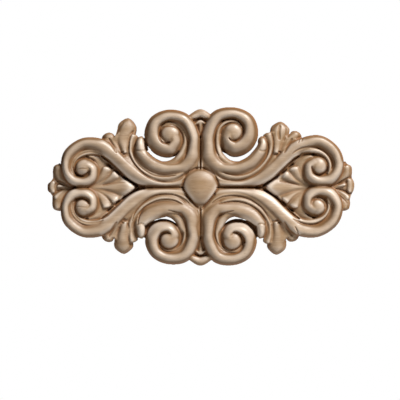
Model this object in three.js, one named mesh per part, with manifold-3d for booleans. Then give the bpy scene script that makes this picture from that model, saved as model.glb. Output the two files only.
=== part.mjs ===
// Scroll onlay: a carved wood applique with a boss, eight volutes, leaf sprays and a palmette at each end.
// Millimetres. X runs along the onlay, Z up its face, and the carving looks to -Y from a flat back at Y = 0.
import * as THREE from "three";
import { mergeVertices } from "three/addons/utils/BufferGeometryUtils.js";
import Module from "manifold-3d";

// The onlay's length, tip to tip. The drawing is 156 units long, and all that lies along the face is in its unit.
const length = 156;
const unit = length / 156;

// Depths from the flat back to the front of the boss, the webs in the volutes, the ground between the bands,
// and the hollows behind the palmettes and fans.
const thickness = 9.8;
const webThickness = 3.4;
const bandGround = 5.6;
const hollowThickness = 1.8;
const palmetteGround = 4.2;

// The boss: half its width, how far its blunt foot reaches below its middle, and how blunt that is (2 is round).
const bossHalf = 9;
const bossFoot = 10.9;
const bossPoint = 1.45;

// Radii of the domed eyes, and of the floor round the outer one.
const largeEye = 4.5;
const smallEye = 4.2;
const outerFloor = 10;

// How far a side wall leans out on its way to the back.
const wallDraft = 0.45;

// Depths of the carving, as shares of the thickness: crests and the tops of side walls.
const scrollCrest = 0.95 * thickness;
const scrollWall = 0.6 * thickness;
const bandCrest = 0.91 * thickness;
const eyeCrest = 0.96 * thickness;
const eyeWall = 0.58 * thickness;
const bossWall = 0.6 * thickness;
const ridgeCrest = 0.8 * thickness;
const stepCrest = 0.75 * thickness;
const stepWall = 0.64 * thickness;
const lowCrest = 0.72 * thickness;
const lowWall = 0.58 * thickness;
const tipCrest = 0.62 * thickness;
const tipWall = 0.4 * thickness;
const rootCrest = 0.52 * thickness;
const dartEnd = 0.46 * thickness;
const ledgeWall = 0.8 * webThickness;

// How an arched section falls from its crest to its sides: 1 is a half round, 2 has softer sides.
const archFall = 1.45;

// How finely the curves are cut into flats.
const broadTurn = THREE.MathUtils.degToRad(29);
const narrowTurn = THREE.MathUtils.degToRad(55);
const longestStep = 9;
const broadArch = 4;
const narrowArch = 3;
const ridgeArch = 2;
const endTurns = [15, 68];
const shortEndTurns = [50];
const shortEnd = 2.5;
const leastFade = 0.03;

// How far pieces run on behind the back before it is sawn flat.
const sawDepth = 2;

// The drawing of one quarter, in millimetres from the boss: x along, z up, then a half width.
// The curl's rows are [radius, half width] about its eye, an eighth of a turn apart from the inside out.
const curlAbove = [
  [0.8, 4.0], [1.6, 4.1], [3.0, 3.9], [5.3, 3.4], [7.9, 3.85], [8.0, 3.95], [8.6, 3.7], [9.6, 3.35], [10.2, 2.9],
  [11.8, 3.3], [12.8, 3.4],
];
const curlAboveLeft = [
  [0.8, 4.0], [1.6, 4.0], [2.6, 3.6], [4.9, 3.3], [7.6, 3.4], [8.0, 3.9], [9.0, 3.75], [9.8, 3.3], [10.0, 3.0],
  [11.0, 3.1], [12.0, 2.9],
];
const curlBelow = [
  [0.6, 4.3], [1.1, 4.3], [2.0, 3.6], [4.4, 3.1], [6.4, 2.6], [7.9, 3.15], [8.7, 3.4], [9.1, 3.2], [9.5, 3.1],
  [11.2, 3.4], [12.2, 3.3],
];
const stem = [
  [3.9, 20.5, 3.6], [4.6, 14.8, 4.4], [8.3, 10.7, 3.9],
];
const stemLeft = [
  [3.4, 20.5, 3.2], [4.3, 14.8, 4.1], [8.1, 10.4, 3.9],
];
const bandAbove = [
  [13, 9.3, 3.1], [19.5, 9.5, 3.4], [26, 12.3, 3.6], [30.4, 17.4, 3.2],
];
const bandBelow = [
  [13, 10.2, 3.8], [19.5, 10.9, 4.1], [26, 13.3, 4.1], [30.6, 17.8, 3.3],
];
const filletAbove = [
  [9.2, 17.8, 1.9], [11.0, 14.8, 1.9], [13.7, 12.6, 1.7], [17.2, 11.6, 1.2], [20.5, 11.8, 0.5],
];
const filletBelow = [
  [9.3, 20.2, 2.2], [10.7, 16.6, 2.3], [13.4, 14.1, 2.0], [16.7, 13.2, 1.6], [20.5, 13.2, 0.7],
];
const ledgeAbove = [
  [27.4, 18.6, 1.0], [28.4, 21.6, 1.2], [28.6, 25, 1.2],
];
const ledgeBelow = [
  [11.6, 23, 1.6], [12.9, 20.6, 1.6], [15.6, 18.8, 1.6], [19.4, 18.2, 1.5], [23.6, 19.8, 1.5], [26.6, 22.4, 1.5],
  [28.6, 25.6, 1.4],
];

// The outer volute's rows are [radius, half width] about its eye, from the outside in.
const turnsRight = [
  [12.2, 3.4], [10.3, 3.3], [9.6, 3.0], [8.6, 3.1], [7.7, 3.0], [6.8, 2.7], [5.3, 2.7], [3.2, 2.9], [1.4, 3.1],
];
const turnsLeft = [
  [12.0, 3.2], [9.8, 3.2], [8.6, 2.6], [7.9, 2.8], [7.2, 2.8], [6.6, 2.6], [5.1, 2.6], [3.1, 2.8], [1.4, 3.0],
];

// What differs from quarter to quarter, as the carver's hand left it.
// stepRise moves the two steps away from the seam.
const above = { row: 1, curl: curlAbove, stem, band: bandAbove, fillet: filletAbove, floorRadius: 10.8 };
const below = {
  row: -1, curl: curlBelow, stem, band: bandBelow, fillet: filletBelow, floorRadius: 8, ledge: ledgeBelow,
};
const quarters = [
  {
    ...above, side: 1, turns: turnsRight, eye: [17, 27.5], outerEye: [60.2, 10.7], stepRise: 0,
    thumbShift: 0.6, tip: [41, 33.4], sideTip: [50.4, 27.8], fanShift: 1.2,
  },
  {
    ...above, side: -1, turns: turnsLeft, eye: [15.7, 26.5], outerEye: [59.4, 9.7], ledge: ledgeAbove,
    curl: curlAboveLeft, stem: stemLeft, stepRise: -0.5,
    thumbShift: -0.6, tip: [36.8, 35.2], sideTip: [48.4, 27.4], fanShift: -0.8,
  },
  {
    ...below, side: 1, turns: turnsRight, eye: [16.5, 26.9], outerEye: [59.7, 9.3], stepRise: 1,
    thumbShift: -0.2, tip: [38.7, 34.2], sideTip: [48.4, 27.1], fanShift: 0.2,
  },
  {
    ...below, side: -1, turns: turnsLeft, eye: [16, 26.4], outerEye: [59.5, 9.8], stepRise: 0.2,
    thumbShift: -0.8, tip: [39, 33.8], sideTip: [48.6, 27.2], fanShift: -0.5,
  },
];

const wasm = await Module();
wasm.setup();
const { Manifold, Mesh } = wasm;

// Joins a geometry's shared vertices and gives it to manifold-3d.
function solidOf(geometry) {
  const bare = geometry.clone();
  bare.deleteAttribute("normal");
  bare.deleteAttribute("uv");
  const merged = mergeVertices(bare, 1e-5);
  return new Manifold(
    new Mesh({
      numProp: 3,
      vertProperties: merged.attributes.position.array,
      triVerts: new Uint32Array(merged.index.array),
    }),
  );
}

// Turns a piece over to its side and row, and stands it on the back.
function placed({ points, faces }, side = 1, row = 1) {
  const position = new Float32Array(points.length);
  for (let i = 0; i < points.length; i += 3) {
    position[i] = points[i] * side * unit;
    position[i + 1] = -points[i + 2];
    position[i + 2] = points[i + 1] * row * unit;
  }
  const turnedOver = side * row < 0;
  const geometry = new THREE.BufferGeometry();
  geometry.setAttribute("position", new THREE.BufferAttribute(position, 3));
  geometry.setIndex(turnedOver ? faces.slice().reverse() : faces);
  return solidOf(geometry);
}

// The row at any place between a strand's rows, on a smooth curve through them.
function rowAt(rows, place) {
  const start = Math.min(Math.floor(place), rows.length - 2);
  const part = place - start;
  const near = [-1, 0, 1, 2].map((step) => rows[THREE.MathUtils.clamp(start + step, 0, rows.length - 1)]);
  return near[1].map((_, i) => {
    const [before, from, to, after] = near.map((row) => row[i]);
    const slope = (to - before) / 2;
    const bend = before - 2.5 * from + 2 * to - after / 2;
    const twist = (after - before) / 2 + 1.5 * (from - to);
    return from + slope * part + bend * part ** 2 + twist * part ** 3;
  });
}

function directionAt(rows, place) {
  const nearby = 0.02;
  const [backX, backZ] = rowAt(rows, Math.max(place - nearby, 0));
  const [aheadX, aheadZ] = rowAt(rows, Math.min(place + nearby, rows.length - 1));
  return new THREE.Vector2(aheadX - backX, aheadZ - backZ).normalize();
}

function distanceBetween([fromX, fromZ], [toX, toZ]) {
  return Math.hypot(toX - fromX, toZ - fromZ);
}

// The places along a strand where its section is set: closer together where it turns.
function placesAlong(rows, turnStep) {
  const places = [0];
  for (let i = 0; i < rows.length - 1; i += 1) {
    const turn = Math.abs(directionAt(rows, i).angleTo(directionAt(rows, i + 1)));
    const reach = distanceBetween(rows[i], rows[i + 1]);
    const steps = Math.max(1, Math.round(turn / turnStep), Math.ceil(reach / longestStep));
    for (let k = 1; k <= steps; k += 1) places.push(i + k / steps);
  }
  return places;
}

// The same places, with the last stretch set by the rounded end.
function placesToRoundEnd(places, last, endShare, turns) {
  const kept = places.filter((place) => place < last - endShare - 0.1);
  const rounded = turns.map((turn) => last - endShare * (1 - Math.sin(THREE.MathUtils.degToRad(turn))));
  return [...kept, ...rounded];
}

// A carved strand: an arched section that stands on the back and follows its rows,
// each [x, z, half width, depth of the crest, depth of the side walls].
// lean moves the crest to the left of the way along it, as a share of the half width.
// roundEnd rounds the far end off over that length, and arch is the number of flats across the top.
function strand(rows, { lean = 0, roundEnd = 0, arch = narrowArch } = {}) {
  const last = rows.length - 1;
  const endShare = roundEnd / distanceBetween(rows[last - 1], rows[last]);
  const turnStep = arch === broadArch ? broadTurn : narrowTurn;
  const evenPlaces = placesAlong(rows, turnStep);
  const turns = roundEnd < shortEnd ? shortEndTurns : endTurns;
  const places = roundEnd ? placesToRoundEnd(evenPlaces, last, endShare, turns) : evenPlaces;

  const points = [];
  for (const place of places) {
    const [x, z, half, crest, wall] = rowAt(rows, place);
    const along = directionAt(rows, place);
    const intoEnd = roundEnd ? THREE.MathUtils.clamp(1 - (last - place) / endShare, 0, 1) : 0;
    const fade = Math.sqrt(Math.max(leastFade, 1 - intoEnd ** 2));
    const width = half * fade;
    const rise = (crest - wall) * fade;
    const put = (offset, depth) => {
      points.push(x - along.y * offset, z + along.x * offset, depth);
    };
    put(-width - wallDraft, -sawDepth);
    for (let k = 0; k <= arch; k += 1) {
      const turn = (k / arch - 0.5) * Math.PI;
      const upwards = Math.max(Math.cos(turn), 0);
      put(width * (Math.sin(turn) + lean * upwards), wall + rise * upwards ** archFall);
    }
    put(width + wallDraft, -sawDepth);
  }

  const perRing = arch + 3;
  const faces = [];
  for (let ring = 0; ring < places.length - 1; ring += 1) {
    for (let k = 0; k < perRing; k += 1) {
      const a = ring * perRing + k;
      const b = ring * perRing + ((k + 1) % perRing);
      faces.push(b, a, a + perRing, b + perRing, b, a + perRing);
    }
  }
  const lastRing = (places.length - 1) * perRing;
  for (let k = 1; k < perRing - 1; k += 1) {
    faces.push(0, k, k + 1);
    faces.push(lastRing, lastRing + k + 1, lastRing + k);
  }
  return { points, faces };
}

// A dome on a foot that is round above and reaches down to a blunt point: point is 2 for a round foot.
function dome({ x, z, half, down = half, point = 2, crest, wall, sides, rings }) {
  const points = [];
  const ringAt = (spread, depth) => {
    for (let k = 0; k < sides; k += 1) {
      const turn = (2 * Math.PI * k) / sides;
      const across = Math.cos(turn);
      const upwards = Math.sin(turn);
      const power = upwards < 0 ? 2 / point : 1;
      const reach = upwards < 0 ? down : half;
      points.push(
        x + half * spread * Math.sign(across) * Math.abs(across) ** power,
        z + reach * spread * Math.sign(upwards) * Math.abs(upwards) ** power,
        depth,
      );
    }
  };
  ringAt(1 + wallDraft / half, -sawDepth);
  for (let ring = 0; ring < rings; ring += 1) {
    const turn = (Math.PI / 2) * (ring / rings);
    ringAt(Math.cos(turn), wall + (crest - wall) * Math.sin(turn));
  }
  const top = points.length / 3;
  const base = top + 1;
  points.push(x, z, crest);
  points.push(x, z, -sawDepth);

  const faces = [];
  for (let k = 0; k < sides; k += 1) {
    const next = (k + 1) % sides;
    for (let ring = 0; ring < rings; ring += 1) {
      const a = ring * sides + k;
      const b = ring * sides + next;
      faces.push(a, b, a + sides, b, b + sides, a + sides);
    }
    faces.push(rings * sides + k, rings * sides + next, top);
    faces.push(next, k, base);
  }
  return { points, faces };
}

// A flat web of one thickness inside an outline of [x, z] points, listed against the clock.
function web(outline, depth) {
  const points = [];
  for (const [x, z] of outline) points.push(x, z, -sawDepth);
  for (const [x, z] of outline) points.push(x, z, depth);
  const corners = outline.map(([x, z]) => new THREE.Vector2(x, z));
  const count = outline.length;
  const faces = [];
  for (const [a, b, c] of THREE.ShapeUtils.triangulateShape(corners, [])) {
    faces.push(a, c, b);
    faces.push(a + count, b + count, c + count);
  }
  for (let k = 0; k < count; k += 1) {
    const next = (k + 1) % count;
    faces.push(k, next, k + count, next, next + count, k + count);
  }
  return { points, faces };
}

function roundWeb([x, z], radius, depth) {
  const sides = 12;
  const outline = Array.from({ length: sides }, (_, k) => {
    const turn = (2 * Math.PI * k) / sides;
    return [x + radius * Math.cos(turn), z + radius * Math.sin(turn)];
  });
  return web(outline, depth);
}

// Gives rows of [x, z, half width] their depths, changing evenly from the first row to the last.
function withDepths(rows, [crestFrom, crestTo], [wallFrom, wallTo]) {
  return rows.map(([x, z, half], i) => {
    const share = i / (rows.length - 1);
    const crest = THREE.MathUtils.lerp(crestFrom, crestTo, share);
    return [x, z, half, crest, THREE.MathUtils.lerp(wallFrom, wallTo, share)];
  });
}

// Moves rows of [x, z, half width] that are drawn about an eye to that eye's place.
function aboutEye([eyeX, eyeZ], rows) {
  return rows.map(([x, z, half]) => [eyeX + x, eyeZ + z, half]);
}

// Rows of a volute about its eye, from its top. way is 1 against the clock and -1 with it.
function voluteRows([eyeX, eyeZ], way, eighths) {
  return eighths.map(([radius, half], i) => {
    const turn = Math.PI / 2 + (way * i * Math.PI) / 4;
    return [eyeX + radius * Math.cos(turn), eyeZ + radius * Math.sin(turn), half, scrollCrest, scrollWall];
  });
}

// The large scroll: out of its eye, round the volute, down beside the seam and along the band to the thumb leaf.
function largeScroll({ eye, curl, stem: down, band, thumbShift }) {
  const thumb = [
    [31.3 + thumbShift, 21.5, 2.5], [30.9 + thumbShift, 24, 2.1], [30.3 + thumbShift, 25.9, 1.2],
  ];
  const rows = [
    ...voluteRows(eye, 1, curl),
    ...withDepths(down, [scrollCrest, bandCrest], [scrollWall, scrollWall]),
    ...withDepths(band, [bandCrest, bandCrest], [scrollWall, scrollWall]),
    ...withDepths(thumb, [bandCrest, lowCrest], [scrollWall, lowWall]),
  ];
  return strand(rows, { lean: 0.12, roundEnd: 1.6, arch: broadArch });
}

// The thin ridge inside the large volute, from under its top down to the see-through gap.
function largeFillet({ eye, fillet }) {
  const overTop = [
    [4.5, 2.4, 0.5], [3.6, 4, 0.7], [1.2, 5.7, 1], [-1.4, 6.1, 1.1], [-4.6, 5.2, 1.3], [-7.4, 2.4, 1.5],
    [-8.4, -3, 1.6],
  ];
  const rows = [...aboutEye(eye, overTop), ...fillet];
  return strand(withDepths(rows, [lowCrest, ridgeCrest], [lowWall, stepWall]), { arch: ridgeArch });
}

// A low ledge under the curl that narrows the see-through gap, or closes its end beside the thumb leaf.
function gapLedge({ ledge }) {
  return strand(withDepths(ledge, [webThickness, webThickness], [ledgeWall, ledgeWall]), { arch: ridgeArch });
}

// The two stepped strands under the scroll's band. The upper one ends as a leaf, the lower one in a bulb.
function upperStep({ stepRise }) {
  const rows = [
    [8.5, 7.8, 0.8], [13.3, 5.5, 1.9], [18.7, 4.8, 1.8], [24, 6, 1.8], [29.5, 9.2, 1.7], [33.8, 14.6, 1.6],
    [35.5, 21.5, 1.8], [33.6, 27.6, 2.2],
  ].map(([x, z, half]) => [x, z + stepRise, half]);
  const shape = { lean: 0.2, roundEnd: 1.4, arch: ridgeArch };
  return strand(withDepths(rows, [ridgeCrest, lowCrest], [stepWall, lowWall]), shape);
}

function lowerStep({ stepRise }) {
  const rows = [
    [2, 15.5, 1.2], [2.6, 12, 1.9], [4.2, 8.9, 1.6], [7.1, 5.6, 1.4], [11, 3.1, 1.5], [18.5, 1.9, 1.5],
    [26, 3.8, 1.7], [32, 7.9, 1.9], [36.6, 13, 2.1], [38.6, 16.2, 1.7],
  ].map(([x, z, half]) => [x, z + 0.6 * stepRise, half + 0.4 * stepRise]);
  const shape = { lean: 0.3, roundEnd: 1.6, arch: ridgeArch };
  return strand(withDepths(rows, [stepCrest, stepCrest], [stepWall, stepWall]), shape);
}

// The S-shaped tube: from the seam beside the boss, up past the leaves and round into the outer volute's eye.
function outerScroll({ outerEye, turns }) {
  const tube = [
    [7.5, 3, 2.2], [13, 2, 1.6], [20, 1.9, 1.5], [26, 3, 2.4], [33.5, 6.2, 3.5],
    [41.3, 12.6, 4.0], [46, 17, 4.2], [51.5, 20.8, 3.9],
  ];
  const rows = [
    ...withDepths(tube, [lowCrest, scrollCrest], [lowWall, scrollWall]),
    ...voluteRows(outerEye, -1, turns),
  ];
  return strand(rows, { lean: 0.15, arch: broadArch });
}

// The thin ridge inside the outer volute.
function outerFillet({ outerEye }) {
  const overTop = [
    [-12, 5.2, 0.7], [-8.8, 7.6, 1.1], [-4.4, 8.5, 1.5], [0, 7.6, 1.5], [3.6, 5.2, 1.3],
    [5.5, 1.6, 1.2], [5.4, -2.2, 1.0], [3.8, -4.2, 0.6],
  ];
  const rows = aboutEye(outerEye, overTop);
  return strand(withDepths(rows, [lowCrest, ridgeCrest], [tipWall, lowWall]), { arch: ridgeArch });
}

// The leaf spray's tall leaf and the shorter leaf beside it.
function tallLeaf({ tip: [tipX, tipZ] }) {
  const rows = [
    [38.4, 17, 1.2], [39, 20.5, 2.3], [39.5, 24.4, 3.6], [(39.4 + 2 * tipX) / 3, 29, 4.8], [tipX, tipZ, 2.2],
  ];
  return strand(withDepths(rows, [stepCrest, tipCrest], [lowWall, tipWall]), { roundEnd: 4.2 });
}

function sideLeaf({ sideTip: [tipX, tipZ] }) {
  const rows = [
    [40, 12.6, 1.1], [42.8, 17.6, 2.2], [45.9, 22.4, 3.2], [tipX, tipZ, 2.6],
  ];
  return strand(withDepths(rows, [stepCrest, tipCrest], [lowWall, tipWall]), { lean: 0.3, roundEnd: 2.2 });
}

// The side lobes of the palmette that looks in towards the boss.
function palmetteLobes() {
  const lobes = [
    [[53, 1, 0.5], [48.5, 2.4, 1], [45, 4.3, 1.7], [41.7, 6.7, 2.1]],
    [[56, 0.7, 0.5], [52, 2.5, 1.2], [48.6, 5.8, 2.1], [46.3, 10.4, 2.2]],
    [[56.5, 1.2, 0.5], [52, 4.4, 1.4], [49.7, 8.2, 2.1], [49.3, 11.8, 2.3], [51.8, 14.6, 1.9], [57.6, 15.9, 0.5]],
  ];
  const shape = { lean: -0.3, roundEnd: 1.5, arch: ridgeArch };
  return lobes.map((rows) => strand(withDepths(rows, [rootCrest, tipCrest], [tipWall, tipWall]), shape));
}

// The lobes of the fan at the onlay's end, on one side of its middle.
function fanLobes({ fanShift }) {
  const lobes = [
    [[65.4, 0.6, 0.5], [69.6, 3.4, 1.8], [72.4 + fanShift, 7, 2.7], [72.8 + fanShift, 11.2, 2.7]],
    [[68, 0.6, 0.5], [72, 1.6, 1], [74.8 + fanShift, 2.8, 1.6], [76 + fanShift, 5, 1.6]],
  ];
  return lobes.map((rows) =>
    strand(withDepths(rows, [rootCrest, tipCrest], [tipWall, tipWall]), { roundEnd: 1.8, arch: ridgeArch }),
  );
}

// Pieces that lie across a seam: the middles of palmette and fan, and the crest over the large volutes.
function palmetteMiddle() {
  const rows = [
    [57, 0, 0.5], [50, 0, 1.3], [44, 0, 3.2], [39, 0, 4.3], [33.4, 0, 1.8],
  ];
  return strand(withDepths(rows, [rootCrest, tipCrest], [tipWall, tipWall]), { roundEnd: 4 });
}

function fanMiddle() {
  const rows = [
    [64.5, 0, 0.6], [69, 0, 1.3], [74, 0, 2.6], [78, 0, 2.6],
  ];
  return strand(withDepths(rows, [rootCrest, rootCrest], [tipWall, tipWall]), { roundEnd: 2, arch: ridgeArch });
}

function crestPieces() {
  const arch = [
    [-6.2, 34.6, 1.3], [-3.4, 36.2, 1.8], [0, 37.5, 2.2], [3.4, 36.2, 1.8], [6.2, 34.6, 1.3],
  ];
  const chevron = [
    [-3.2, 31.6, 0.6], [-1.4, 33, 0.7], [0, 33.6, 0.8], [1.4, 33, 0.7], [3.2, 31.6, 0.6],
  ];
  const dart = [
    [0, 33, 1.1], [0, 29, 0.9], [0, 24, 0.6], [0, 16, 0.4],
  ];
  return [
    strand(withDepths(arch, [lowCrest, lowCrest], [lowWall, lowWall])),
    strand(withDepths(chevron, [tipCrest, tipCrest], [lowWall, lowWall])),
    strand(withDepths(dart, [tipCrest, dartEnd], [tipWall, tipWall])),
  ];
}

// The domed eyes of a quarter's two volutes.
function eyes({ eye, outerEye }) {
  const eyeDome = ([x, z], half) =>
    dome({ x, z, half, crest: eyeCrest, wall: eyeWall, sides: 10, rings: 2 });
  return [eyeDome(eye, largeEye), eyeDome(outerEye, smallEye)];
}

// Low floors in the volutes, between eye, ridge and tube. The large one stops short of the gap.
function voluteFloors({ eye, outerEye, floorRadius }) {
  return [roundWeb(eye, floorRadius, webThickness), roundWeb(outerEye, outerFloor, webThickness)];
}

// The ground between the bands of a quarter, from the seam beside the boss out to the leaf spray.
const bandOutline = [
  [6, 5], [10, 1], [26, 2], [34, 7], [42, 15.5], [47, 22], [42, 24], [36, 24], [33, 21], [31, 15], [26, 10],
  [18, 8], [10, 11], [6, 18], [4, 27], [0.5, 27], [0.5, 10],
];

function quarterPieces(quarter) {
  return [
    largeScroll(quarter),
    largeFillet(quarter),
    upperStep(quarter),
    lowerStep(quarter),
    outerScroll(quarter),
    outerFillet(quarter),
    tallLeaf(quarter),
    sideLeaf(quarter),
    ...palmetteLobes(),
    ...fanLobes(quarter),
    ...eyes(quarter),
    ...voluteFloors(quarter),
    web(bandOutline, bandGround),
    ...(quarter.ledge ? [gapLedge(quarter)] : []),
  ];
}

function boss() {
  const size = { half: bossHalf, down: bossFoot, point: bossPoint, crest: thickness, wall: bossWall };
  return dome({ x: 0, z: 0, ...size, sides: 18, rings: 3 });
}

// The webs under the two seams and the floors behind each palmette and fan.
const seamWebHalf = 3.6;
const seamWebReach = 36;
const endSeamHalf = 2;
const endSeamReach = 66;
const bandSeamHalf = 1.5;
const bandSeamReach = 31.5;
const endFloor = [
  [30, 0], [37, -7], [47, -15], [57, -17], [72, -10], [76, 0], [72, 10], [57, 17], [47, 15], [37, 7],
];

// The ground between a palmette's lobes: its upper edge, and the same turned down.
const palmetteEdge = [
  [57, 15.8], [53, 15.6], [50, 14.2], [46, 10.8], [42.5, 7.2], [38.5, 4.2], [33.5, 0],
];
const palmetteOutline = [
  ...palmetteEdge,
  ...palmetteEdge.slice(0, -1).reverse().map(([x, z]) => [x, -z]),
];

function crossWeb(halfX, halfZ, depth) {
  return web([[-halfX, -halfZ], [halfX, -halfZ], [halfX, halfZ], [-halfX, halfZ]], depth);
}

const solids = [
  placed(boss()),
  placed(crossWeb(seamWebHalf, seamWebReach, webThickness)),
  placed(crossWeb(endSeamReach, endSeamHalf, hollowThickness)),
  placed(crossWeb(bandSeamReach, bandSeamHalf, webThickness)),
];
for (const quarter of quarters) {
  for (const piece of quarterPieces(quarter)) solids.push(placed(piece, quarter.side, quarter.row));
}
for (const side of [1, -1]) {
  solids.push(placed(palmetteMiddle(), side));
  solids.push(placed(fanMiddle(), side));
  solids.push(placed(web(endFloor, hollowThickness), side));
  solids.push(placed(web(palmetteOutline, palmetteGround), side));
}
for (const row of [1, -1]) {
  for (const piece of crestPieces()) solids.push(placed(piece, 1, row));
}

// The back is sawn flat.
const behind = new THREE.BoxGeometry(2 * length, 2 * sawDepth, 2 * length);
behind.translate(0, sawDepth, 0);
const onlay = Manifold.union(solids).subtract(solidOf(behind));
const carved = onlay.getMesh();

const geometry = new THREE.BufferGeometry();
geometry.setAttribute("position", new THREE.BufferAttribute(new Float32Array(carved.vertProperties), 3));
geometry.setIndex(Array.from(carved.triVerts));
geometry.computeVertexNormals();

const wood = new THREE.MeshStandardMaterial({ color: 0xc4a98a, roughness: 0.62, metalness: 0 });
const scrollOnlay = new THREE.Mesh(geometry, wood);
scrollOnlay.name = "scroll_onlay";

const group = new THREE.Group();
group.add(scrollOnlay);

export default group;
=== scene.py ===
import math

import bmesh
import bpy
import numpy as np
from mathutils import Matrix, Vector
from mathutils.bvhtree import BVHTree
from mathutils.geometry import delaunay_2d_cdt


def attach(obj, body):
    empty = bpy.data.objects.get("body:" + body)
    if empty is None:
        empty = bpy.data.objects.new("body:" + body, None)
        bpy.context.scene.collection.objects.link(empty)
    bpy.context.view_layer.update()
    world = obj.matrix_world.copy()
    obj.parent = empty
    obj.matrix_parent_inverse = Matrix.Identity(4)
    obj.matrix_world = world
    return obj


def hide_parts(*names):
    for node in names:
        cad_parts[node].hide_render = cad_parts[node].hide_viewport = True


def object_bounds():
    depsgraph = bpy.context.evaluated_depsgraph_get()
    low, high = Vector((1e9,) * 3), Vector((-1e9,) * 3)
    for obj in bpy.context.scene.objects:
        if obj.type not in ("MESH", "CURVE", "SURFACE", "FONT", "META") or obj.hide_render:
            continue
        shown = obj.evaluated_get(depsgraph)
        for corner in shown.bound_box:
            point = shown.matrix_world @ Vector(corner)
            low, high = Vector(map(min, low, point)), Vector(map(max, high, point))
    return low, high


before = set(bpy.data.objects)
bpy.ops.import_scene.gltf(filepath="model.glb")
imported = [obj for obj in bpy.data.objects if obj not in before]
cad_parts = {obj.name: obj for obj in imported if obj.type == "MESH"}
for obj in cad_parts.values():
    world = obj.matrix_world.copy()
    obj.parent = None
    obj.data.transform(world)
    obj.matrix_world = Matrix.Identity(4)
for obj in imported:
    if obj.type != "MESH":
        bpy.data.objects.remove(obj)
cadLow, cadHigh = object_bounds()
mm = 0.001
print("frame loaded")

# The carving is drawn in millimetres: x along, z up, from the middle of the boss.
# Depths are measured from the flat back. What a user would change is here.
carving = {
    "thickness": 9.8,
    "seamFloor": 3.4,  # the web in the volutes
    "bandFloor": 5.6,  # the ground between the bands
    "hollowFloor": 1.8,  # the floor behind the palmettes and fans
    "palmetteFloor": 5.2,  # the ground between a palmette's lobes
    "eyeFloor": 5.9,  # the ground close round the eyes
    "seamSides": 7.2,  # the close sides of the upright seam
    "bossGround": 6.4,  # the ground round the boss and along the level seam
    "fanFloor": 4.6,  # the ground between a fan's lobes
    "crestFloor": 4.6,  # the ground under the two crests
    "sprayFloor": 6.4,  # the ground between the leaves of a spray
    "gridStep": 0.32,  # spacing of the carved surface's points
    "thinnest": 1.0,  # what the deepest cut leaves
    "softening": 0.22,  # how far the knife has rounded every edge
    "outlineSoftening": 0.16,
    "wallDraft": 0.3,  # how far the foot stands out past the top of a side wall
    "handUneven": 0.06,  # height of the slow unevenness of a surface cut by hand
    "unevenReach": 1.6,  # and how wide its waves are
    "seed": 7,
}
thick = carving["thickness"]

# Depths of crests and of the tops of side walls, as shares of the thickness.
depth = {name: share * thick for name, share in {
    "scroll": 0.95, "scrollWall": 0.6, "band": 0.91, "eye": 0.96, "eyeWall": 0.6,
    "boss": 1.0, "bossWall": 0.6, "ridge": 0.8, "step": 0.75, "stepWall": 0.64,
    "low": 0.72, "lowWall": 0.58, "lobe": 0.73, "lobeWall": 0.52, "fanWall": 0.48,
    "tip": 0.62, "tipWall": 0.4, "root": 0.52, "dartEnd": 0.46,
}.items()}

# The curl and the outer turns: (radius, half width) about the eye, an eighth of a turn apart.
curlAbove = [
    (0.8, 4), (1.6, 4.1), (3, 3.9), (5.3, 3.4), (7.9, 3.85), (8, 3.95), (8.6, 3.7), (9.6, 3.35),
    (10.2, 2.9), (11.8, 3.3), (12.8, 3.4),
]
curlAboveLeft = [
    (0.8, 4), (1.6, 4), (2.6, 3.6), (4.9, 3.3), (7.6, 3.4), (8, 3.9), (9, 3.75), (9.8, 3.3),
    (10, 3), (11, 3.1), (12, 2.9),
]
curlBelow = [
    (0.6, 4.3), (1.1, 4.3), (2, 3.6), (4.4, 3.1), (6.4, 2.6), (7.9, 3.15), (8.7, 3.4), (9.1, 3.2),
    (9.5, 3.1), (11.2, 3.4), (12.2, 3.3),
]
turnsRight = [
    (12.2, 3.4), (10.3, 3.3), (9.6, 3), (8.6, 3.1), (7.7, 3), (6.8, 2.7), (5.3, 2.7), (3.2, 2.9),
    (1.4, 3.1),
]
turnsLeft = [
    (12, 3.2), (9.8, 3.2), (8.6, 2.6), (7.9, 2.8), (7.2, 2.8), (6.6, 2.6), (5.1, 2.6), (3.1, 2.8),
    (1.4, 3),
]

# Everything else: (x, z, half width).
stem = [(3.9, 20.5, 3.6), (4.6, 14.8, 4.4), (8.3, 10.7, 3.9)]
stemLeft = [(3.4, 20.5, 3.2), (4.3, 14.8, 4.1), (8.1, 10.4, 3.9)]
bandAbove = [(13, 9.3, 3.1), (19.5, 9.5, 3.4), (26, 12.3, 3.6), (30.4, 17.4, 3.2)]
bandBelow = [(13, 10.2, 3.8), (19.5, 10.9, 4.1), (26, 13.3, 4.1), (30.6, 17.8, 3.3)]
filletAbove = [
    (9.2, 17.8, 1.9), (11, 14.8, 1.9), (13.7, 12.6, 1.8), (17.2, 11.5, 1.7), (21, 12.2, 1.1),
]
filletBelow = [
    (9.3, 20.2, 2.2), (10.7, 16.6, 2.3), (13.4, 14.1, 2), (16.7, 13.2, 1.6), (20.5, 13.2, 0.7),
]
ledgeAbove = [(27.4, 18.6, 1), (28.4, 21.6, 1.2), (28.6, 25, 1.2)]
ledgeBelow = [
    (11.6, 23, 1.6), (12.9, 20.4, 1.6), (15.6, 18.6, 1.7), (19.4, 17.9, 1.8), (23.6, 19.2, 2),
    (26.6, 21.4, 2.2), (28.6, 25.6, 1.4),
]

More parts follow.
